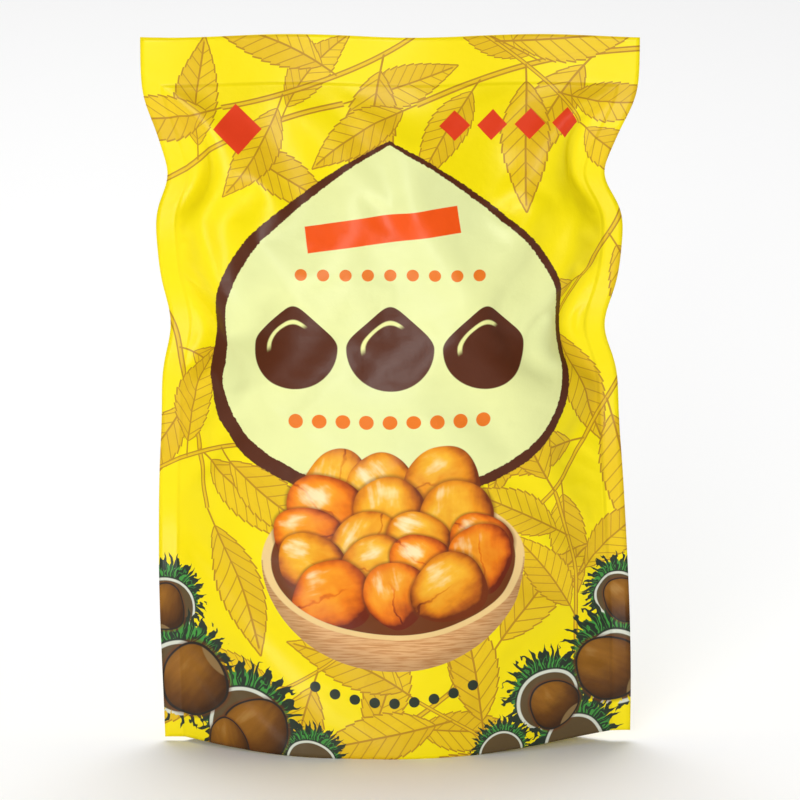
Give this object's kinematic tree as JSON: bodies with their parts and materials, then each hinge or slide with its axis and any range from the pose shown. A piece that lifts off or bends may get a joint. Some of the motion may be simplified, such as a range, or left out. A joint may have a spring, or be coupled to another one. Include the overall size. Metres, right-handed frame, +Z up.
{
  "type": "stand-up pouch",
  "caption": "Filled stand-up pouch of glossy printed film with flat side seals, a flat top seal and an opened bottom gusset that it stands on.",
  "frame": {"origin": "middle of the box of the pouch, on the surface that it stands on", "axes": "+Z up along the pouch's height, +X to the right seen from the front, +Y towards the back, so the front panel faces -Y"},
  "size_m": [0.2, 0.0568, 0.293],
  "materials": {
    "film": "glossy printed laminate film"
  },
  "bodies": {
    "root": {"pouch": "film"}
  },
  "joints": []
}
